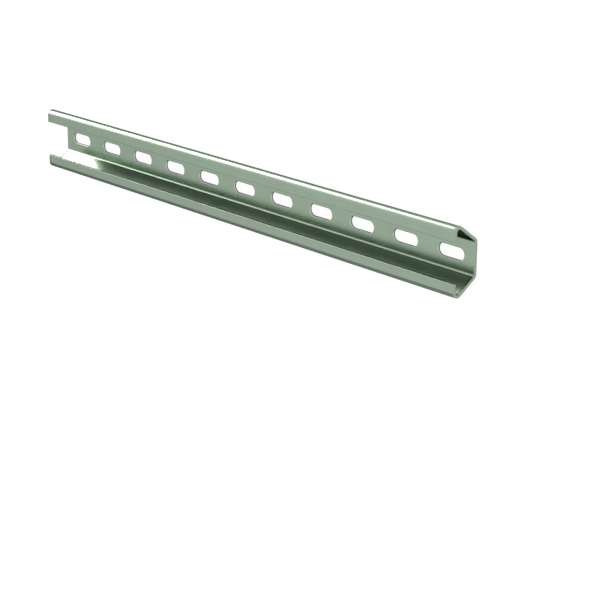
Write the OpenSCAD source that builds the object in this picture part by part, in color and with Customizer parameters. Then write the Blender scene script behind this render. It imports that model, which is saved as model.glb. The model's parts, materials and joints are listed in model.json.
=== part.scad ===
// Slotted C-section DIN rail: one length of zinc-plated steel strip, rolled into an
// open channel with sloping flanks and two in-turned lips, slotted along its floor,
// and cut square halfway between two slots at each end.
//
// Millimetres. The rail lies on the back of its floor with its mouth up:
// X runs along the rail, Y across it, Z from the back of the floor to the mouth.
// The origin is at the middle of the rail's length and width, on the back of the floor.

/* [Section] */
// Overall width across the two outer bends
rail_w = 35; // [33:0.5:40]
// Overall depth, from the back of the floor to the front of the lips
rail_d = 15; // [12:0.5:18]
// Thickness of the steel strip
strip_t = 1.5; // [1:0.1:2]
// Inside radius of every bend
bend_r = 1.5; // [0.8:0.1:2]
// Flat width of the floor between its two bends
floor_w = 15.5; // [13:0.1:17]
// Width of the mouth between the two lips
mouth_w = 20.4; // [18:0.2:23]
// Radius of the strip's slit edges, along the tip of each lip
edge_r = 0.25; // [0.1:0.05:0.4]

/* [Slots and length] */
// Number of slots
slot_count = 11; // [2:1:30]
// Distance from one slot's centre to the next
slot_pitch = 32; // [25:0.5:50]
// Length of a slot from end to end
slot_l = 18; // [12:0.5:22]
// Width of a slot
slot_w = 6.3; // [4.2:0.1:8]

/* [Hidden] */
fine = 96; // facets of a full circle when drawn as a mesh
rail_l = slot_count * slot_pitch; // cut halfway between two slots at each end
outer_r = bend_r + strip_t;
// centre of the floor's bend, and centre of the bend between flank and lip
foot = [floor_w / 2, outer_r];
crown = [rail_w / 2 - outer_r, rail_d - outer_r];
// how far each flank leans out from square, and the length of its flat
lean = atan2(crown[0] - foot[0], crown[1] - foot[1]);
flank_l = norm(crown - foot);
lip_l = crown[0] - mouth_w / 2; // flat of a lip, from its bend to its tip

// Bend about the origin, from the +X side round through an angle, anticlockwise if positive
module bend(turn) {
  far = 3 * outer_r;
  intersection() {
    difference() {
      circle(r = outer_r, $fn = fine);
      circle(r = bend_r, $fn = fine);
    }
    polygon(concat([[0, 0]], [for (i = [0:3]) let (q = turn * i / 3) far * [cos(q), sin(q)]]));
  }
}

// Flat of a lip, from the bend at its right to its rounded tip at the left
module lip() {
  translate([-lip_l + edge_r, 0]) square([lip_l - edge_r, strip_t]);
  translate([-lip_l, edge_r]) square([edge_r, strip_t - 2 * edge_r]);
  for (v = [edge_r, strip_t - edge_r]) translate([-lip_l + edge_r, v])
    intersection() {
      circle(r = edge_r, $fn = fine);
      translate([-edge_r, v > strip_t / 2 ? 0 : -edge_r]) square(edge_r);
    }
}

// Right-hand half of the section, from the middle of the floor to the tip of the lip
module half_section() {
  square([foot[0], strip_t]);
  translate(foot) rotate(-lean) {
    bend(lean - 90);
    translate([bend_r, 0]) square([strip_t, flank_l]);
    translate([0, flank_l]) bend(lean + 90);
  }
  translate([crown[0], rail_d - strip_t]) lip();
}

// One obround slot, standing through the floor with its length along X
module slot() {
  run = slot_l - slot_w;
  translate([0, 0, -1]) {
    for (s = [-1, 1]) translate([s * run / 2, 0, 0])
      cylinder(d = slot_w, h = strip_t + 2, $fn = fine);
    translate([-run / 2, -slot_w / 2, 0]) cube([run, slot_w, strip_t + 2]);
  }
}

module rail() {
  color([0.60, 0.66, 0.60])
  difference() {
    // the section is drawn in the YZ plane and extruded along X
    translate([-rail_l / 2, 0, 0]) rotate([90, 0, 90]) linear_extrude(rail_l) {
      half_section();
      mirror([1, 0]) half_section();
    }
    for (i = [0:slot_count - 1])
      translate([(i - (slot_count - 1) / 2) * slot_pitch, 0, 0]) slot();
  }
}

rail();
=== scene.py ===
# %% [markdown]
# # A slotted DIN rail
#
# The rail is one length of steel strip. A press punches a row of slots along the strip, rolls
# fold it into an open channel, a shear cuts it square, and a bath plates it with zinc. This
# lesson loads the measured CAD model and builds a finer mesh of the same rail over it, because
# metal shows every facet in its reflections. Then it gives the steel its finish, and adds a
# floor, some light and a camera.
#
# The first cell loads the CAD model. Everything after it is in the CAD's own frame: X runs
# along the rail, Y across it, and Z from the back of its floor up to its open mouth.

# %% Load the measured model
import json
import math

import bmesh
import bpy
from mathutils import Matrix, Vector


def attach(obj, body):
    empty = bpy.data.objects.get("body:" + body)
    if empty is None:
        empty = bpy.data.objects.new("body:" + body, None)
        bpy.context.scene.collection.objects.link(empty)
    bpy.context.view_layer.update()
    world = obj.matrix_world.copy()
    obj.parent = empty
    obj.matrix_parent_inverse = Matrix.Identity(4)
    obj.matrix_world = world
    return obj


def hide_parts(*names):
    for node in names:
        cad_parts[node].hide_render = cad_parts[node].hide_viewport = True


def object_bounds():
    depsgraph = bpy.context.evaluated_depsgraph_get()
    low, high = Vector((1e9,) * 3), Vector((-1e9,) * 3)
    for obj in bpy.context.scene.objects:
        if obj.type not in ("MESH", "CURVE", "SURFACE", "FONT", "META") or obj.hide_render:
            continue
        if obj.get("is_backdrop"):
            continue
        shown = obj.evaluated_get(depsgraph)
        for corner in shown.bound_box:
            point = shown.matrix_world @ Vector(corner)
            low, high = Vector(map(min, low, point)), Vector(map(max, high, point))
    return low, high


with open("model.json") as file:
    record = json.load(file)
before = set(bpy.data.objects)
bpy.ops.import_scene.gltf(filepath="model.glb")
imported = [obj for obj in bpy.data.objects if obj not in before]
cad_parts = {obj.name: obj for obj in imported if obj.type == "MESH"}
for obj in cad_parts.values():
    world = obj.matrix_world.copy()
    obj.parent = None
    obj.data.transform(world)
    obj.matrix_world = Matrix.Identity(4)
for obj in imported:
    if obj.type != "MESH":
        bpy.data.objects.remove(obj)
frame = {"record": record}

MM = 0.001
cad_low, cad_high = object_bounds()
print("CAD rail, mm:", [round(side / MM, 2) for side in cad_high - cad_low])

# %% [markdown]
# ## Sizes
#
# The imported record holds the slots' pitch, length and width, because the slots are what the
# rail is screwed down by. Reading them keeps this mesh in step with the CAD. The section's
# sizes aren't in the record, so they are repeated here as the CAD source has them. Only the
# radius at the tips of the lips differs. It is tighter here, because a slit edge is nearly
# sharp, and a wider round would catch a bright line of light.

# %% Sizes, in millimetres
mounts = {mount["name"]: mount for mount in frame["record"]["mounts"]}
slot_dims = mounts["slots_middle_right"]["dims"]
slot_pitch = slot_dims["spacing_x_mm"]
slot_length = slot_dims["slot_length_mm"]
slot_radius = slot_dims["hole_r_mm"]
slot_count = round((cad_high.x - cad_low.x) / MM / slot_pitch)
rail_length = slot_count * slot_pitch

rail_width, rail_depth = 35.0, 15.0
strip = 1.5            # thickness of the steel strip
bend_radius = 1.5      # inside of every bend
floor_flat = 15.5      # flat of the floor, between its bends
mouth = 20.4           # opening between the lips
tip_radius = 0.15      # slit edge of the strip, at each lip's tip; 0.25 in the CAD
print(f"{slot_count} slots of {slot_length} x {2 * slot_radius:.1f} mm, rail {rail_length:.0f} mm")

# %% [markdown]
# ## The section
#
# Each half of the section has a bend at the floor's edge and another where the flank turns
# into the lip. Both curve the same way with the same radius, so the flat flank that joins them
# runs parallel to the line through their centres. That gives its lean.

# %% Centres of the bends
half_strip = strip / 2
outer_radius = bend_radius + strip
foot = Vector((floor_flat / 2, outer_radius))                                 # at the floor
crown = Vector((rail_width / 2 - outer_radius, rail_depth - outer_radius))    # at the lip
lean = math.atan2(crown.x - foot.x, crown.y - foot.y)
print(f"flanks lean out {math.degrees(lean):.1f} degrees")

# %% [markdown]
# Rolled strip has the same thickness all the way round, so its section is one line with a
# skin half a thickness out on each side. Each stop on that line is a point and the direction
# that faces outwards there. Stops lie close together round a bend, where a reflection slides
# quickly, and one stands just inside each end of a flat. Those hold the flat's shading level,
# so that the roundness of the bend doesn't spread over it.
#
# A Solidify modifier could thicken a single sheet. Drawing both skins instead keeps the round
# tips of the lips in the same outline, and lets the cut ends shrink it evenly.

# %% Stops along half of the section
FOOT_STEPS, CROWN_STEPS = 9, 22     # steps round the bend at the floor and the one at the lip
HOLD = 0.4                          # how far a holding stop stands from the end of a flat


def around(centre, start, end, steps):
    """Stops round a bend about a centre, from one angle to another."""
    for step in range(steps + 1):
        angle = start + (end - start) * step / steps
        out = Vector((math.cos(angle), math.sin(angle)))
        yield centre + out * (bend_radius + half_strip), out


foot_bend = list(around(foot, -math.pi / 2, -lean, FOOT_STEPS))
crown_bend = list(around(crown, -lean, math.pi / 2, CROWN_STEPS))
flank_out, lip_out = foot_bend[-1][1], Vector((0, 1))
flank_run = (crown - foot).normalized()
lip_start = Vector((mouth / 2 + tip_radius, rail_depth - half_strip))
half_line = (foot_bend
             + [(foot_bend[-1][0] + flank_run * HOLD, flank_out),
                (crown_bend[0][0] - flank_run * HOLD, flank_out)]
             + crown_bend
             + [(crown_bend[-1][0] - Vector((HOLD, 0)), lip_out),
                (lip_start + Vector((HOLD, 0)), lip_out),
                (lip_start, lip_out)])
print(len(half_line), "stops in a half")

# %% [markdown]
# The skin follows the stops up the outside, rounds the tip of the lip, and comes back along
# the inside. An inset draws the same outline a little smaller, which is how the cut ends get
# their worn edges later. The other half is the mirror image, walked the other way round.

# %% Outline of each half
TIP_STEPS = 4          # steps round each edge of a lip's tip


def half_outline(inset=0.0):
    """Points (y, z) up the outside of the right half, round its lip and back down the inside."""
    reach = half_strip - inset
    outside = [point + out * reach for point, out in half_line]
    inside = [point - out * reach for point, out in reversed(half_line)]
    tip = []
    for height, start in ((rail_depth - tip_radius, 90), (rail_depth - strip + tip_radius, 180)):
        for step in range(TIP_STEPS + 1):
            angle = math.radians(start + 90 * step / TIP_STEPS)
            tip.append(Vector((mouth / 2 + tip_radius, height))
                       + Vector((math.cos(angle), math.sin(angle))) * (tip_radius - inset))
    return outside + tip[1:-1] + inside


def mirrored(outline):
    """The other half, in the order that carries on round the section."""
    return [Vector((-point.x, point.y)) for point in reversed(outline)]


print(len(half_outline()), "points round each half")

# %% [markdown]
# ## One slot's worth of floor
#
# The floor is flat apart from its slots, so a piece of it one pitch long is a rectangle with
# a rounded slot in it. Rings run from the rectangle's border in to the slot's rim, down its
# wall and out again underneath. Each point on a ring has a partner on the next one, which
# gives clean four-sided faces. A Boolean modifier would cut the slots with less work, but it
# leaves long thin triangles round every hole, and smooth metal shows them as kinks.
#
# The slot's ring comes first. Its round ends are divided so that one point on each quarter of
# a circle looks straight at a corner of the rectangle.

# %% The ring round a slot
END_STEPS, SIDE_STEPS = 4, 6        # steps from the slot's tip to that point, and on to its side
slot_half = slot_length / 2 - slot_radius
half_pitch, half_floor = slot_pitch / 2, floor_flat / 2
corner = math.atan2(half_floor, half_pitch - slot_half)
quarter = ([corner * step / END_STEPS for step in range(END_STEPS)]
           + [corner + (math.pi / 2 - corner) * step / SIDE_STEPS for step in range(SIDE_STEPS + 1)])
end_angles = [-angle for angle in reversed(quarter[1:])] + quarter


def slot_ring(grow):
    """Points round the slot's outline, grown outwards by some millimetres."""
    radius = slot_radius + grow
    right = [Vector((slot_half + radius * math.cos(angle), radius * math.sin(angle)))
             for angle in end_angles]
    left = [Vector((-point.x, point.y)) for point in reversed(right)]
    return right + [Vector((0, radius))] + left + [Vector((0, -radius))]


print(len(slot_ring(0)), "points round a slot")

# %% [markdown]
# Each point of the slot's ring then looks straight out from the slot to find its partner on
# the rectangle. The partners also set where the rest of the section gets its columns along the
# pitch, and where the cut ends get their stops across the floor, so that all the pieces meet
# point to point.

# %% The ring on the rectangle's border
CLOSE = 1e-6           # millimetres or radians; a difference smaller than this is rounding
DECIMALS = 6           # the same, as a number of decimals


def border_ring(shrink=0.0):
    """The partners of the slot's points on the border of the floor's rectangle."""
    points = []
    for point in slot_ring(0):
        across, along = point.y, abs(point.x) - slot_half
        if point.x == 0:
            points.append(Vector((0, math.copysign(half_floor, across))))
            continue
        angle = abs(math.atan2(across, max(along, 0)))
        if angle >= corner - CLOSE:
            x, y = slot_half + half_floor / math.tan(angle), math.copysign(half_floor, across)
        else:
            x, y = half_pitch, (half_pitch - slot_half) * math.tan(angle) * math.copysign(1, across)
        points.append(Vector((math.copysign(x, point.x), y)))
    shorter, narrower = 1 - shrink / half_pitch, 1 - shrink / half_floor
    return [Vector((point.x * shorter, point.y * narrower)) for point in points]


border = border_ring()
columns = sorted({round(p.x, DECIMALS) for p in border if abs(p.y) > half_floor - CLOSE})
floor_stops = sorted({round(p.y, DECIMALS) for p in border if abs(p.x) > half_pitch - CLOSE})[1:-1]
print(len(columns), "columns along the pitch,", len(floor_stops), "stops across the floor")

# %% [markdown]
# The punch leaves a slot's top rim softly rolled and its lower rim nearly sharp. The rings at
# both rims follow a quarter circle. A Bevel modifier could round them too, but rings of our
# own can each be given a mask: a number kept with every point, which says how far it is on a
# cut face, 1 on the wall of a slot and 0 on the rolled face of the strip. The steel's material
# reads it, because a cut face has a finish of its own.

# %% Profile of a slot's wall
ROLLED_RIM, SHARP_RIM = 0.22, 0.08      # radii of the upper and the lower rim
RIM_STEPS = 3                           # steps round a rim


def quarter_turn(radius):
    """(outwards, down, cut) at each step of a rim, from the face to the wall."""
    for step in range(RIM_STEPS + 1):
        angle = math.pi / 2 * step / RIM_STEPS
        yield radius * (1 - math.sin(angle)), radius * (1 - math.cos(angle)), step / RIM_STEPS


wall = [(slot_ring(ROLLED_RIM + HOLD), strip, 0.0)]
wall += [(slot_ring(out), strip - down, cut) for out, down, cut in quarter_turn(ROLLED_RIM)]
wall += [(slot_ring(out), down, cut) for out, down, cut in reversed(list(quarter_turn(SHARP_RIM)))]
wall += [(slot_ring(SHARP_RIM + HOLD), 0.0, 0.0)]
rings = ([(border, strip, 0.0), (border_ring(HOLD), strip, 0.0)] + wall
         + [(border_ring(HOLD), 0.0, 0.0), (border, 0.0, 0.0)])
print(len(rings), "rings from the top of the floor to its back")

# %% [markdown]
# ## Two small meshes
#
# Everything on the rail is one of two meshes: a pitch of rail with its slot, and a cut end.
# Both are built point by point with bmesh, which takes metres.

# %% Helpers that draw a mesh
def start_mesh(mask):
    """An empty bmesh, and a named layer that says how far each point is on a cut face."""
    bm = bmesh.new()
    return bm, bm.verts.layers.float.new(mask)


def row_of(bm, layer, points, cut):
    """Adds points in millimetres, and returns their vertices."""
    row = [bm.verts.new(Vector(point) * MM) for point in points]
    for vertex in row:
        vertex[layer] = cut
    return row


def skin(bm, rows, closed=False):
    """Four-sided faces between rows of points that have the same length."""
    for row, following in zip(rows, rows[1:]):
        count = len(row)
        for i in range(count if closed else count - 1):
            j = (i + 1) % count
            bm.faces.new((row[i], row[j], following[j], following[i]))


print("points are given in units of", MM, "metres")

# %% Helpers that finish it
MERGE = 0.001          # millimetres; points nearer than this become one


def new_object(name, mesh):
    """An object at the origin that shows a mesh."""
    made = bpy.data.objects.new(name, mesh)
    bpy.context.scene.collection.objects.link(made)
    return made


def finished(bm, name):
    """Turns a bmesh into a smooth-shaded object."""
    bmesh.ops.remove_doubles(bm, verts=bm.verts, dist=MERGE * MM)
    mesh = bpy.data.meshes.new(name)
    bm.to_mesh(mesh)
    bm.free()
    mesh.shade_smooth()
    print(name, "has", len(mesh.polygons), "faces")
    return new_object(name, mesh)


print("points merge within", MERGE, "mm")

# %% One pitch of rail
bm, punched_mask = start_mesh("punched")
skin(bm, [row_of(bm, punched_mask, [(p.x, p.y, height) for p in ring], cut)
          for ring, height, cut in rings], closed=True)
for outline in (half_outline(), mirrored(half_outline())):
    skin(bm, [row_of(bm, punched_mask, [(x, p.x, p.y) for p in outline], 0.0) for x in columns])
pitch_piece = finished(bm, "pitch_of_rail")

# %% [markdown]
# A cut end is the whole section closed by a flat face. Its rim is a quarter circle of less
# than a tenth of a millimetre: small, but it catches a thin line of light, as the real edge
# does. The outlines shrink as they go round the rim, and one more, smaller still, holds the
# end face's shading level.

# %% Rim of a cut end
END_RIM = 0.07         # under half the tips' radius, so that the smallest outline keeps its tips


def section(inset):
    """The whole outline, the back of the floor first, with the floor's own stops."""
    back = [Vector((y, inset)) for y in floor_stops]
    front = [Vector((y, strip - inset)) for y in reversed(floor_stops)]
    return back + half_outline(inset) + front + mirrored(half_outline(inset))


bm, sheared_mask = start_mesh("sheared")
rim_rows = [row_of(bm, sheared_mask, [(-out, p.x, p.y) for p in section(down)], cut)
            for out, down, cut in quarter_turn(END_RIM)]
face_row = row_of(bm, sheared_mask, [(0, p.x, p.y) for p in section(2 * END_RIM)], 1.0)
skin(bm, rim_rows + [face_row], closed=True)
print(len(face_row), "points round the end face")

# %% [markdown]
# The end face is closed across the strip's thickness, with four-sided faces from the outer
# skin to the inner one, and one many-sided face fills the tip of each lip.

# %% Face of a cut end
across_floor, round_half, skin_stops = len(floor_stops), len(half_outline()), len(half_line)
back, rest = face_row[:across_floor], face_row[across_floor:]
right, rest = rest[:round_half], rest[round_half:]
front, left = rest[:across_floor], rest[across_floor:]
skin(bm, [[left[-1]] + back + [right[0]], [left[0]] + front[::-1] + [right[-1]]])
for half in (right, left[::-1]):
    skin(bm, [half[:skin_stops], half[::-1][:skin_stops]])
    bm.faces.new(half[skin_stops - 1:round_half - skin_stops + 1])
cut_end = finished(bm, "cut_end")

# %% [markdown]
# ## Zinc-plated steel
#
# The strip is cold-rolled steel, plated with zinc in a bath after the slots are punched, and
# dipped in a clear passivation. To the eye that is a satin metal with a pale green-grey cast.
# Three things keep it from looking like plastic or a mirror: fine lines that the rolls drew
# along the strip, clouds where the passivation dried a little thicker, and the crystals of
# the zinc, which blur every reflection.
#
# A metal has no colour of its own under its reflections. Its colour is the tint that it gives
# to what it reflects, so it goes into Base Color with Metallic at 1, and its index of
# refraction stays at the default. The plating is thin enough to follow what lies under it, so
# the cut faces have finishes of their own. A slot's wall has two: the punch scours its upper
# half bright as it goes in, and then the rest tears away and is left dull. The wall also
# carries painted light: its upper half is painted paler than the zinc as a painted reflection,
# and its lower half is painted dark as painted shade in the bottom of the slot.
#
# The finish could be painted on the rail laid out flat. Patterns worked out in space need no
# laying out, and keep their size on a rail of any length.

# %% Colours of the steel
def linear(code):
    """An sRGB hex colour as linear red, green, blue and alpha."""
    parts = [int(code[i:i + 2], 16) / 255 for i in (1, 3, 5)]
    return [v / 12.92 if v <= 0.04045 else ((v + 0.055) / 1.055) ** 2.4 for v in parts] + [1.0]


ZINC = linear("#99ab9a")           # satin zinc under a clear, faintly green passivation
ZINC_CLOUD = linear("#98a794")     # the same where the passivation is thicker, a touch olive
RUBBED_RIM = linear("#aab6a8")     # edges that tools and handling have brightened
# Painted reflection: the upper half of a slot's wall is painted paler than the zinc, on top of the
# punch's real burnish.
SCOURED_WALL_WITH_PAINTED_REFLECTION = linear("#ccd4ca")   # upper half of a slot's wall, scoured bright by the punch
# Painted shade: the lower half of a slot's wall is painted dark, on top of the real dull tear.
TORN_WALL_WITH_PAINTED_SHADE = linear("#566056")      # lower half, torn away rather than cut
SHEARED_END = linear("#98a497")    # end faces, wiped by the shear and a little greyer
print("zinc, linear:", [round(value, 3) for value in ZINC[:3]])

# %% [markdown]
# Every pattern below starts from a size on the real strip. Object coordinates are in metres,
# so a noise whose features are s millimetres across has a scale of 1000 / s. Lines along the
# strip come from squeezing the coordinates: a Mapping node makes X count for far less than Y
# and Z. Real roll lines are a few hundredths of a millimetre wide, too fine to show on a whole
# rail, so they are drawn several tenths wide instead. The zinc's crystals are drawn ten times
# their size for the same reason.

# %% Sizes of the patterns, in millimetres
LINE_WIDTH, LINE_LENGTH = 0.6, 70.0   # drawn coarser than the real 0.05, to show at all
CLOUD = 14.0                          # passivation clouds
CRYSTAL = 0.4                         # drawn coarser than the real 0.04, to show at all
WAVE = 40.0                           # slow waviness that rolling leaves in the flats


def per_metre(size):
    """The texture scale for features of a size in millimetres."""
    return 1 / (size * MM)


print("line, cloud and crystal scales:", [round(per_metre(s)) for s in (LINE_WIDTH, CLOUD, CRYSTAL)])

# %% [markdown]
# One small function adds any node with its settings and links. The material then reads from
# top to bottom: where on the rail, which patterns, what colour, how rough, how bumpy.

# %% A helper that adds a node, and an empty material
def add_node(tree, kind, inputs=None, **settings):
    """Adds a node: settings by name, and each input as a value or as the socket it comes from."""
    made = tree.nodes.new(kind)
    for key, value in settings.items():
        setattr(made, key, value)
    for socket, value in (inputs or {}).items():
        if isinstance(value, bpy.types.NodeSocket):
            tree.links.new(value, made.inputs[socket])
        else:
            made.inputs[socket].default_value = value
    return made


def empty_material(name):
    """A material with no nodes yet, and its node tree."""
    made = bpy.data.materials.new(name)
    made.use_nodes = True
    made.node_tree.nodes.clear()
    return made, made.node_tree


steel, tree = empty_material("zinc_plated_steel")
print("steel starts with", len(tree.nodes), "nodes")

# %% The patterns
where = add_node(tree, "ShaderNodeTexCoord").outputs["Object"]
along = add_node(tree, "ShaderNodeMapping",
                 {"Vector": where, "Scale": (LINE_WIDTH / LINE_LENGTH, 1, 1)})
lines = add_node(tree, "ShaderNodeTexNoise",
                 {"Vector": along.outputs[0], "Scale": per_metre(LINE_WIDTH), "Detail": 3.0})
clouds = add_node(tree, "ShaderNodeTexNoise",
                  {"Vector": where, "Scale": per_metre(CLOUD), "Detail": 2.0})
crystals = add_node(tree, "ShaderNodeTexNoise",
                    {"Vector": where, "Scale": per_metre(CRYSTAL), "Detail": 1.0})
waves = add_node(tree, "ShaderNodeTexNoise",
                 {"Vector": where, "Scale": per_metre(WAVE), "Detail": 0.0})
punched = add_node(tree, "ShaderNodeAttribute", attribute_name="punched").outputs["Fac"]
sheared = add_node(tree, "ShaderNodeAttribute", attribute_name="sheared").outputs["Fac"]
print("patterns and masks:", len(tree.nodes), "nodes")

# %% [markdown]
# The masks `punched` and `sheared` are the numbers that were kept with the points. They run
# from 0 on the rolled faces, round a rim, to 1 on a cut face, so each of them mixes the finish
# of its own cut faces over the zinc. Down a slot's wall, the height above the back of the
# floor tells the scoured half, with its painted reflection, from the half that tore away,
# with its painted shade.

# %% Colour of the faces
CLOUD_STARTS, CLOUD_FULL = 0.35, 0.7    # values of the noise where a cloud starts and is full
CLOUD_SHARE = 0.8                       # how much of the cloud's colour a full cloud takes
# Painted shade, partly a real tear: the slot's wall darkens from the first height down to the
# second.
TEAR_AND_SHADE_STARTS, TEAR_AND_SHADE_FULL = 0.85, 0.65     # millimetres above the back of the floor
cloudy = add_node(tree, "ShaderNodeMapRange",
                  {"Value": clouds.outputs["Fac"], "From Min": CLOUD_STARTS,
                   "From Max": CLOUD_FULL, "To Max": CLOUD_SHARE})
zinc = add_node(tree, "ShaderNodeMix",
                {"Factor": cloudy.outputs[0], "A": ZINC, "B": ZINC_CLOUD}, data_type="RGBA")
above_back = add_node(tree, "ShaderNodeSeparateXYZ", {"Vector": where}).outputs["Z"]
# Painted shade and painted reflection: low on the wall the dark colour takes over from the pale one.
torn_and_shaded = add_node(tree, "ShaderNodeMapRange",
                {"Value": above_back, "From Min": TEAR_AND_SHADE_STARTS * MM, "From Max": TEAR_AND_SHADE_FULL * MM})
wall_with_painted_light = add_node(tree, "ShaderNodeMix",
                     {"Factor": torn_and_shaded.outputs[0], "A": SCOURED_WALL_WITH_PAINTED_REFLECTION, "B": TORN_WALL_WITH_PAINTED_SHADE},
                     data_type="RGBA")
with_walls = add_node(tree, "ShaderNodeMix",
                      {"Factor": punched, "A": zinc.outputs["Result"],
                       "B": wall_with_painted_light.outputs["Result"]}, data_type="RGBA")
with_ends = add_node(tree, "ShaderNodeMix",
                     {"Factor": sheared, "A": with_walls.outputs["Result"], "B": SHEARED_END},
                     data_type="RGBA")
print("faces coloured:", len(tree.nodes), "nodes")

# %% [markdown]
# Tools and handling rub the steel bright along its edges. Cycles could search for edges with
# its Bevel node, but the masks know them already: halfway through its run from 0 to 1 a mask
# is on the rim itself, so a value that climbs to 1 at halfway and falls back again finds it.

# %% Rubbed rims
cut = add_node(tree, "ShaderNodeMath", {0: punched, 1: sheared}, operation="MAXIMUM").outputs[0]
there_and_back = add_node(tree, "ShaderNodeMath", {0: cut, 1: 0.5}, operation="PINGPONG")
rim = add_node(tree, "ShaderNodeMath", {0: there_and_back.outputs[0], 1: 2.0},
               operation="MULTIPLY")
rubbed = add_node(tree, "ShaderNodeMix",
                  {"Factor": rim.outputs[0], "A": with_ends.outputs["Result"], "B": RUBBED_RIM},
                  data_type="RGBA")
print("rims coloured:", len(tree.nodes), "nodes")

# %% [markdown]
# Zinc's crystals scatter light, so the rolled faces are satin: rough enough to blur a lamp,
# smooth enough to show the channel in itself. Lines and clouds vary that a little, and the
# faces that were cut are rougher.

# %% Roughness
CLEAR_ROUGHNESS, CLOUDED_ROUGHNESS = 0.2, 0.23  # between the clouds, and under them
LINE_ROUGHNESS, CUT_ROUGHNESS = 0.05, 0.12      # what a line and a cut face add to that
NOISE_LOW, NOISE_HIGH = 0.3, 0.7                # nearly all of a noise lies between these
satin = add_node(tree, "ShaderNodeMapRange",
                 {"Value": clouds.outputs["Fac"], "From Min": NOISE_LOW, "From Max": NOISE_HIGH,
                  "To Min": CLEAR_ROUGHNESS, "To Max": CLOUDED_ROUGHNESS})
streaky = add_node(tree, "ShaderNodeMath",
                   {0: lines.outputs["Fac"], 1: LINE_ROUGHNESS, 2: satin.outputs[0]},
                   operation="MULTIPLY_ADD")
roughness = add_node(tree, "ShaderNodeMath",
                     {0: cut, 1: CUT_ROUGHNESS, 2: streaky.outputs[0]},
                     operation="MULTIPLY_ADD")
print(f"roughness: from {CLEAR_ROUGHNESS}, and {CUT_ROUGHNESS} more where the steel was cut")

# %% [markdown]
# Three bumps follow, all slight: the slow waves in the flats, the lines and the crystals. Seen
# at a low angle the crystals hide behind one another, so the steel darkens towards its
# outline. On a metal that is the job of Specular Tint.

# %% Bumps and the shader
WAVE_DEPTH, LINE_DEPTH, CRYSTAL_DEPTH = 0.05, 0.003, 0.0015     # millimetres
LOW_ANGLE_TINT = (0.1, 0.1, 0.1, 1.0)
wavy = add_node(tree, "ShaderNodeBump",
                {"Height": waves.outputs["Fac"], "Distance": WAVE_DEPTH * MM})
lined = add_node(tree, "ShaderNodeBump",
                 {"Height": lines.outputs["Fac"], "Distance": LINE_DEPTH * MM,
                  "Normal": wavy.outputs[0]})
grained = add_node(tree, "ShaderNodeBump",
                   {"Height": crystals.outputs["Fac"], "Distance": CRYSTAL_DEPTH * MM,
                    "Normal": lined.outputs[0]})
shader = add_node(tree, "ShaderNodeBsdfPrincipled",
                  {"Base Color": rubbed.outputs["Result"], "Metallic": 1.0,
                   "Specular Tint": LOW_ANGLE_TINT,
                   "Roughness": roughness.outputs[0], "Normal": grained.outputs[0]})
add_node(tree, "ShaderNodeOutputMaterial", {"Surface": shader.outputs["BSDF"]})
print("steel:", len(tree.nodes), "nodes")

# %% [markdown]
# ## Repeating along the rail
#
# The slots repeat evenly along the real rail. An Array modifier could repeat the pitch piece,
# but a tree of Geometry Nodes does the whole job in one place. It sets the pitch piece along a
# line of points, draws its two open ends back by the radius of the cut end's rim, adds a cut
# end at each side and welds it all together. Its inputs are named, so that a longer rail or
# another pitch is a matter of new numbers. It ends by realizing the instances, because an
# exported mesh can't hold them, and by setting the material.
#
# The right end is the one at +X, and the left end the one at -X.

# %% The tree's inputs and lengths
tree = bpy.data.node_groups.new("rail_by_the_pitch", "GeometryNodeTree")
for name, kind in (("Pitch Piece", "NodeSocketObject"), ("Cut End", "NodeSocketObject"),
                   ("Slot Count", "NodeSocketInt"), ("Slot Pitch", "NodeSocketFloat"),
                   ("Rim Radius", "NodeSocketFloat"), ("Steel", "NodeSocketMaterial")):
    tree.interface.new_socket(name, in_out="INPUT", socket_type=kind)
tree.interface.new_socket("Rail", in_out="OUTPUT", socket_type="NodeSocketGeometry")
given = add_node(tree, "NodeGroupInput").outputs
length = add_node(tree, "ShaderNodeMath", {0: given["Slot Count"], 1: given["Slot Pitch"]},
                  operation="MULTIPLY")
right_end = add_node(tree, "ShaderNodeMath", {0: length.outputs[0], 1: 0.5}, operation="MULTIPLY")
left_end = add_node(tree, "ShaderNodeMath", {0: length.outputs[0], 1: -0.5}, operation="MULTIPLY")
first_slot = add_node(tree, "ShaderNodeMath",
                      {0: given["Slot Pitch"], 1: 0.5, 2: left_end.outputs[0]},
                      operation="MULTIPLY_ADD")
print("inputs:", [item.name for item in tree.interface.items_tree if item.in_out == "INPUT"])

# %% The row of pitch pieces
first_place = add_node(tree, "ShaderNodeCombineXYZ", {"X": first_slot.outputs[0]})
pitch_step = add_node(tree, "ShaderNodeCombineXYZ", {"X": given["Slot Pitch"]})
places = add_node(tree, "GeometryNodeMeshLine",
                  {"Count": given["Slot Count"], "Start Location": first_place.outputs[0],
                   "Offset": pitch_step.outputs[0]}, mode="OFFSET")
one_pitch = add_node(tree, "GeometryNodeObjectInfo",
                     {"Object": given["Pitch Piece"], "As Instance": True})
pitches = add_node(tree, "GeometryNodeInstanceOnPoints",
                   {"Points": places.outputs[0], "Instance": one_pitch.outputs["Geometry"]})
row = add_node(tree, "GeometryNodeRealizeInstances", {"Geometry": pitches.outputs[0]})
print("row:", len(tree.nodes), "nodes")

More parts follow.
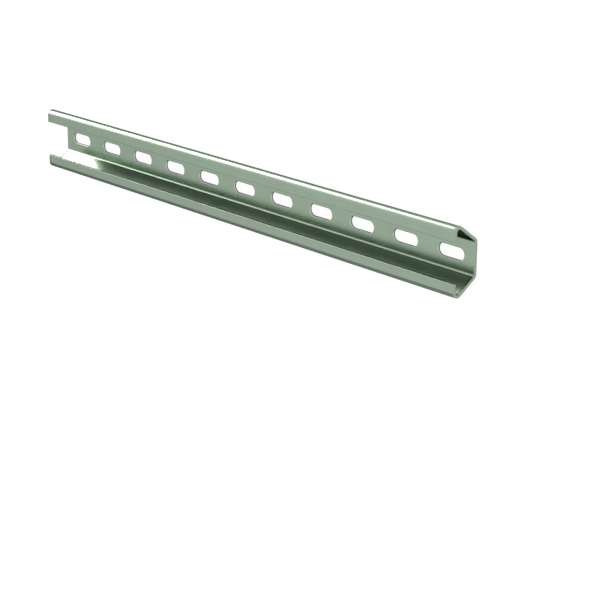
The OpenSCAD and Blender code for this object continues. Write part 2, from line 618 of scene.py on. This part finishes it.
# %% Room for the rims at both ends
highest = add_node(tree, "ShaderNodeMath", {0: right_end.outputs[0], 1: given["Rim Radius"]},
                   operation="SUBTRACT")
lowest = add_node(tree, "ShaderNodeMath", {0: left_end.outputs[0], 1: given["Rim Radius"]},
                  operation="ADD")
position = add_node(tree, "GeometryNodeInputPosition")
point = add_node(tree, "ShaderNodeSeparateXYZ", {"Vector": position.outputs[0]})
held = add_node(tree, "ShaderNodeClamp",
                {"Value": point.outputs["X"], "Min": lowest.outputs[0], "Max": highest.outputs[0]})
drawn_back = add_node(tree, "ShaderNodeCombineXYZ",
                      {"X": held.outputs[0], "Y": point.outputs["Y"], "Z": point.outputs["Z"]})
shortened = add_node(tree, "GeometryNodeSetPosition",
                     {"Geometry": row.outputs[0], "Position": drawn_back.outputs[0]})
print("shortened row:", len(tree.nodes), "nodes")

# %% The cut ends, the weld and the material
WELD = 0.002           # millimetres; more than the rounding in the pieces' places
end_piece = add_node(tree, "GeometryNodeObjectInfo",
                     {"Object": given["Cut End"], "As Instance": True})
right_place = add_node(tree, "ShaderNodeCombineXYZ", {"X": right_end.outputs[0]})
left_place = add_node(tree, "ShaderNodeCombineXYZ", {"X": left_end.outputs[0]})
right_cut = add_node(tree, "GeometryNodeTransform",
                     {"Geometry": end_piece.outputs["Geometry"],
                      "Translation": right_place.outputs[0]})
left_cut = add_node(tree, "GeometryNodeTransform",
                    {"Geometry": end_piece.outputs["Geometry"],
                     "Translation": left_place.outputs[0], "Rotation": (0, 0, math.pi)})
joined = add_node(tree, "GeometryNodeJoinGeometry")
for piece in (shortened, right_cut, left_cut):
    tree.links.new(piece.outputs[0], joined.inputs[0])
whole = add_node(tree, "GeometryNodeRealizeInstances", {"Geometry": joined.outputs[0]})
welded = add_node(tree, "GeometryNodeMergeByDistance",
                  {"Geometry": whole.outputs[0], "Distance": WELD * MM})
smooth = add_node(tree, "GeometryNodeSetShadeSmooth", {"Geometry": welded.outputs[0]})
plated = add_node(tree, "GeometryNodeSetMaterial",
                  {"Geometry": smooth.outputs[0], "Material": given["Steel"]})
add_node(tree, "NodeGroupOutput", {"Rail": plated.outputs[0]})
print("whole tree:", len(tree.nodes), "nodes")

# %% [markdown]
# A modifier's inputs are filled in by each socket's identifier, before anything evaluates the
# object. The result is then read off as a plain mesh, so no modifier is left on the rail.

# %% Run the tree and keep its mesh
source = new_object("rail_source", bpy.data.meshes.new("rail_source"))
modifier = source.modifiers.new("rail", "NODES")
modifier.node_group = tree
fillings = {"Pitch Piece": pitch_piece, "Cut End": cut_end, "Slot Count": slot_count,
            "Slot Pitch": slot_pitch * MM, "Rim Radius": END_RIM * MM, "Steel": steel}
for item in tree.interface.items_tree:
    if item.in_out == "INPUT":
        modifier[item.identifier] = fillings[item.name]
depsgraph = bpy.context.evaluated_depsgraph_get()
rail_mesh = bpy.data.meshes.new_from_object(source.evaluated_get(depsgraph), depsgraph=depsgraph)
rail_mesh.name = "rail_strip"
source.modifiers.clear()
for helper in (source, pitch_piece, cut_end):
    bpy.data.objects.remove(helper)
print("rail mesh:", len(rail_mesh.vertices), "points")

# %% [markdown]
# The mirrored half of each end face was drawn looking into the steel, so all the faces are
# turned outwards here. A closed mesh has two faces on every edge. Its volume should come near
# the CAD's 30,320 cubic millimetres.

# %% Turn the faces outwards and check the mesh
bm = bmesh.new()
bm.from_mesh(rail_mesh)
bmesh.ops.recalc_face_normals(bm, faces=bm.faces)
open_edges = sum(len(edge.link_faces) != 2 for edge in bm.edges)
volume = bm.calc_volume(signed=True) / MM ** 3
print(f"rail: {len(bm.faces)} faces, {open_edges} open edges, {volume:.0f} cubic millimetres")
bm.to_mesh(rail_mesh)
bm.free()

# %% [markdown]
# The mesh stands for the CAD rail, which is hidden but stays in the scene. It rides on the
# part's only body, and its finish is the steel that the tree set on it.

# %% Hand the rail to the frame
rail = new_object("rail_strip", rail_mesh)
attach(rail, "root")
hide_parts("rail")
print("rail box, mm:", [round(side / MM, 2) for side in rail.dimensions])

# %% [markdown]
# ## Floor
#
# The rail lies on a plain pale floor. The floor is matt, so that it takes the rail's soft
# shadow, and it glows a little as well, for what looks at it: the camera, and the metal and
# glass that mirror it. That brings it up to paper white without a brighter lamp, which would
# have bleached the rail too. It lies a hair below the rail, because two faces in one plane
# flicker, and it is clear from below, so that the rail's back can be looked at.

# %% Floor
FLOOR_HALF = 6.0       # metres from the middle to each side
FLOOR_GAP = 0.02       # millimetres below the rail
bm = bmesh.new()
bmesh.ops.create_grid(bm, x_segments=1, y_segments=1, size=FLOOR_HALF,
                      matrix=Matrix.Translation((0, 0, -FLOOR_GAP * MM)))
floor_mesh = bpy.data.meshes.new("floor")
bm.to_mesh(floor_mesh)
bm.free()
floor = new_object("floor", floor_mesh)
print("floor:", [2 * FLOOR_HALF] * 2, "metres")

# %% White paper for the floor
PAPER_GLOW, PAPER_MATT = 0.9, 0.14      # light of its own, and how much other light it returns
paper, tree = empty_material("white_paper")
rays = add_node(tree, "ShaderNodeLightPath").outputs
seen = add_node(tree, "ShaderNodeMath", {0: rays["Is Camera Ray"], 1: rays["Is Glossy Ray"]},
                operation="ADD")
looked_at = add_node(tree, "ShaderNodeMath", {0: seen.outputs[0], 1: rays["Is Transmission Ray"]},
                     operation="ADD")
strength = add_node(tree, "ShaderNodeMath", {0: looked_at.outputs[0], 1: PAPER_GLOW},
                    operation="MULTIPLY")
glow = add_node(tree, "ShaderNodeEmission", {"Strength": strength.outputs[0]})
matt = add_node(tree, "ShaderNodeBsdfDiffuse", {"Color": (PAPER_MATT, PAPER_MATT, PAPER_MATT, 1)})
both = add_node(tree, "ShaderNodeAddShader", {0: matt.outputs[0], 1: glow.outputs[0]})
from_below = add_node(tree, "ShaderNodeNewGeometry").outputs["Backfacing"]
clear = add_node(tree, "ShaderNodeBsdfTransparent")
one_sided = add_node(tree, "ShaderNodeMixShader",
                     {0: from_below, 1: both.outputs[0], 2: clear.outputs[0]})
add_node(tree, "ShaderNodeOutputMaterial", {"Surface": one_sided.outputs[0]})
floor_mesh.materials.append(paper)
floor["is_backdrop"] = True
print("paper:", len(tree.nodes), "nodes")

# %% [markdown]
# ## Light
#
# Metal shows what stands around it more than it shows itself, so most of lighting it is
# deciding what it mirrors. An image of a whole studio could stand round it. Separate plain
# shapes are easier to steer, because each can be moved until its own reflection is right.
# Four things do the work here:
#
# - an even white room, which the flats mirror as the plain colour of the zinc;
# - a wide softbox low down past the rail's left end, which draws the white stripe along one
#   bend;
# - a small warm strip light at the foot of the softbox, which shines into the channel from
#   that end;
# - a grey card along one side of the rail, which draws the darker line along the other bend.
#
# The lamps and the card are hidden from the camera, but the steel still mirrors them. A
# lamp's watts follow from its size and from how much brighter than the room it should look.

# %% The white room
ROOM_STRENGTH = 1.0
world = bpy.data.worlds.new("white_room")
world.use_nodes = True
room = world.node_tree.nodes["Background"].inputs
room["Color"].default_value = (1, 1, 1, 1)
room["Strength"].default_value = ROOM_STRENGTH
bpy.context.scene.world = world
print("room strength:", ROOM_STRENGTH)

# %% The softbox
def standing_lamp(name, ends, heights, glow, colour):
    """An upright rectangular lamp over a line on the floor, glow times as bright as the room."""
    lamp = bpy.data.lights.new(name, "AREA")
    lamp.shape = "RECTANGLE"
    run = ends[1] - ends[0]
    lamp.size, lamp.size_y = heights[1] - heights[0], run.length
    lamp.energy = ROOM_STRENGTH * glow * math.pi * lamp.size * lamp.size_y
    lamp.color = colour[:3]
    stood = bpy.data.objects.new(name, lamp)
    bpy.context.collection.objects.link(stood)
    stood.location = ((ends[0] + ends[1]) / 2).to_3d()
    stood.location.z = (heights[0] + heights[1]) / 2
    stood.rotation_euler = (0, math.radians(-90), -math.atan2(run.x, run.y))
    stood.visible_camera = False
    print(f"{name}: {lamp.size_y:.2f} by {lamp.size:.2f} metres, {lamp.energy:.1f} watts")


SOFTBOX_ENDS = (Vector((-1.55, 0.25)), Vector((-1.3, 1.75)))        # metres, as are the heights
SOFTBOX_HEIGHTS = (0.06, 0.80)
SOFTBOX_GLOW, SOFTBOX_COLOUR = 5.0, linear("#ffffff")
standing_lamp("softbox", SOFTBOX_ENDS, SOFTBOX_HEIGHTS, SOFTBOX_GLOW, SOFTBOX_COLOUR)

# %% The strip light at its foot
STRIP_LIGHT_ENDS = (Vector((-1.47, 0.5)), Vector((-1.32, 1.4)))     # metres, as are the heights
STRIP_LIGHT_HEIGHTS = (0.10, 0.28)
STRIP_LIGHT_GLOW, STRIP_LIGHT_COLOUR = 12.0, linear("#ffeae2")
standing_lamp("strip_light", STRIP_LIGHT_ENDS, STRIP_LIGHT_HEIGHTS, STRIP_LIGHT_GLOW,
              STRIP_LIGHT_COLOUR)

# %% The grey card
CARD_Y = -0.5                                # metres; the card stands along the rail
CARD_X, CARD_Z = (-2.1, 0.1), (0.10, 0.70)   # metres, from and to
CARD_GREY = linear("#aeaeae")
bm = bmesh.new()
corners = ((CARD_X[0], CARD_Z[0]), (CARD_X[1], CARD_Z[0]),
           (CARD_X[1], CARD_Z[1]), (CARD_X[0], CARD_Z[1]))
bm.faces.new([bm.verts.new((x, CARD_Y, z)) for x, z in corners])
card_mesh = bpy.data.meshes.new("grey_card")
bm.to_mesh(card_mesh)
bm.free()
grey, tree = empty_material("grey_card")
flat = add_node(tree, "ShaderNodeBsdfDiffuse", {"Color": CARD_GREY})
add_node(tree, "ShaderNodeOutputMaterial", {"Surface": flat.outputs[0]})
card_mesh.materials.append(grey)
card = new_object("grey_card", card_mesh)
card.visible_camera = False
card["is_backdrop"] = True
print("card:", [round(side, 2) for side in card.dimensions], "metres")

# %% [markdown]
# ## Camera
#
# A long lens from nearly a metre away, looking down along the rail from its right end. The
# camera is rolled about its own axis, so that the rail runs from the upper left to the right
# with its channel towards us. It is placed by what it looks at: a point on the floor, a
# distance, a direction and a roll.

# %% Camera
AIM = Vector((46.1, -52.1, 0.0)) * MM
DISTANCE = 958.05 * MM
AZIMUTH, ELEVATION, ROLL = 21.98, 37.69, -103.45     # degrees; azimuth from +X towards +Y
FOCAL_LENGTH, SENSOR_WIDTH = 107.992, 36.0           # millimetres
NEAREST, FURTHEST = 0.05, 50.0                       # metres; what lies between is drawn
azimuth, elevation = math.radians(AZIMUTH), math.radians(ELEVATION)
backward = Vector((math.cos(azimuth) * math.cos(elevation), math.sin(azimuth) * math.cos(elevation),
                   math.sin(elevation)))
camera = bpy.data.objects.new("camera", bpy.data.cameras.new("camera"))
bpy.context.collection.objects.link(camera)
bpy.context.scene.camera = camera
upright = backward.to_track_quat("Z", "Y").to_matrix()
camera.matrix_world = (Matrix.Translation(AIM + DISTANCE * backward) @ upright.to_4x4()
                       @ Matrix.Rotation(math.radians(ROLL), 4, "Z"))
camera.data.sensor_width = SENSOR_WIDTH
camera.data.lens = FOCAL_LENGTH
camera.data.clip_start, camera.data.clip_end = NEAREST, FURTHEST
print("camera at, mm:", [round(value / MM, 1) for value in camera.matrix_world.translation])

# %% [markdown]
# The Standard view transform shows each colour as it is written. Blender's own default would
# grey the white floor and soften the steel's contrast.

# %% Colours as they are
bpy.context.scene.view_settings.view_transform = "Standard"
print("view transform:", bpy.context.scene.view_settings.view_transform)

# %% [markdown]
#
# The boxes of the CAD part and of this mesh are set side by side, in metres, and their largest
# difference is printed. They should agree to a few hundredths of a millimetre.

# %% Size of the mesh
visual_low, visual_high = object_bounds()
boxes = {"cad": [list(cad_low), list(cad_high)], "visual": [list(visual_low), list(visual_high)]}
gap = max(abs(a - b) for low, new in zip(boxes["cad"], boxes["visual"]) for a, b in zip(low, new))
print(f"largest difference from the CAD box: {gap / MM:.4f} mm")
